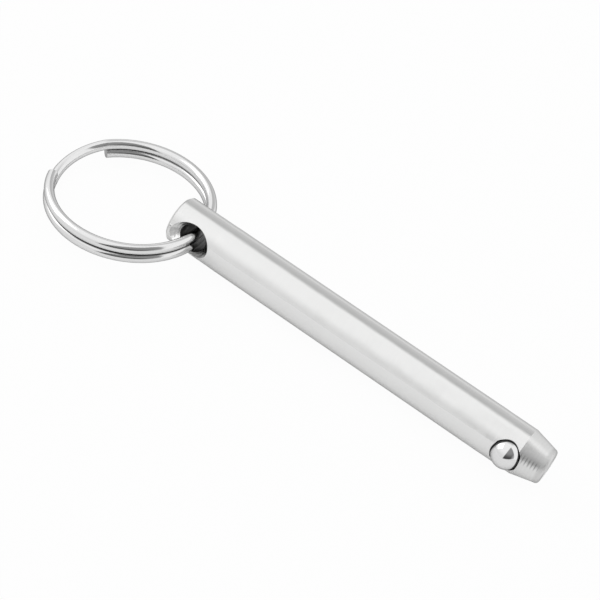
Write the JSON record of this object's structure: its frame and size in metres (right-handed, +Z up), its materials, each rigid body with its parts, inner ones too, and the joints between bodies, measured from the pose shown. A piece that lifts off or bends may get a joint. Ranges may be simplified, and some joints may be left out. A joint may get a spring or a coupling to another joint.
{
  "type": "quick release pin",
  "caption": "Steel quick release pin with a sprung detent ball near its tapered nose and a double-coil split ring through a countersunk hole in its head.",
  "frame": {"origin": "on the shaft's axis, halfway along its ground grip", "axes": "+X along the shaft from its head towards its nose, +Z up as the pin lies, the detent ball faces -Y"},
  "size_m": [0.0744, 0.0223, 0.0064],
  "materials": {
    "shaft_steel": "satin, turned and ground",
    "ball_steel": "polished",
    "spring_steel": "drawn wire",
    "ring_steel": "bright drawn wire"
  },
  "bodies": {
    "pin": {"shaft": "shaft_steel", "detent_spring": "spring_steel"},
    "ball": {"detent_ball": "ball_steel"},
    "ring": {"split_ring": "ring_steel"}
  },
  "joints": [
    {"name": "ball_press", "type": "slide", "parent": "pin", "child": "ball", "axis": [0, 0.9877, -0.1564], "range_m": [0, 0.00117], "stiffness_N_per_m": 980, "springref_m": -0.001, "deforming": ["detent_spring"]},
    {"name": "ring_swing", "type": "hinge", "parent": "pin", "child": "ring", "pos_m": [-0.0245, 0, 0], "axis": [0, 1, 0], "range_deg": [-162, 171]}
  ]
}
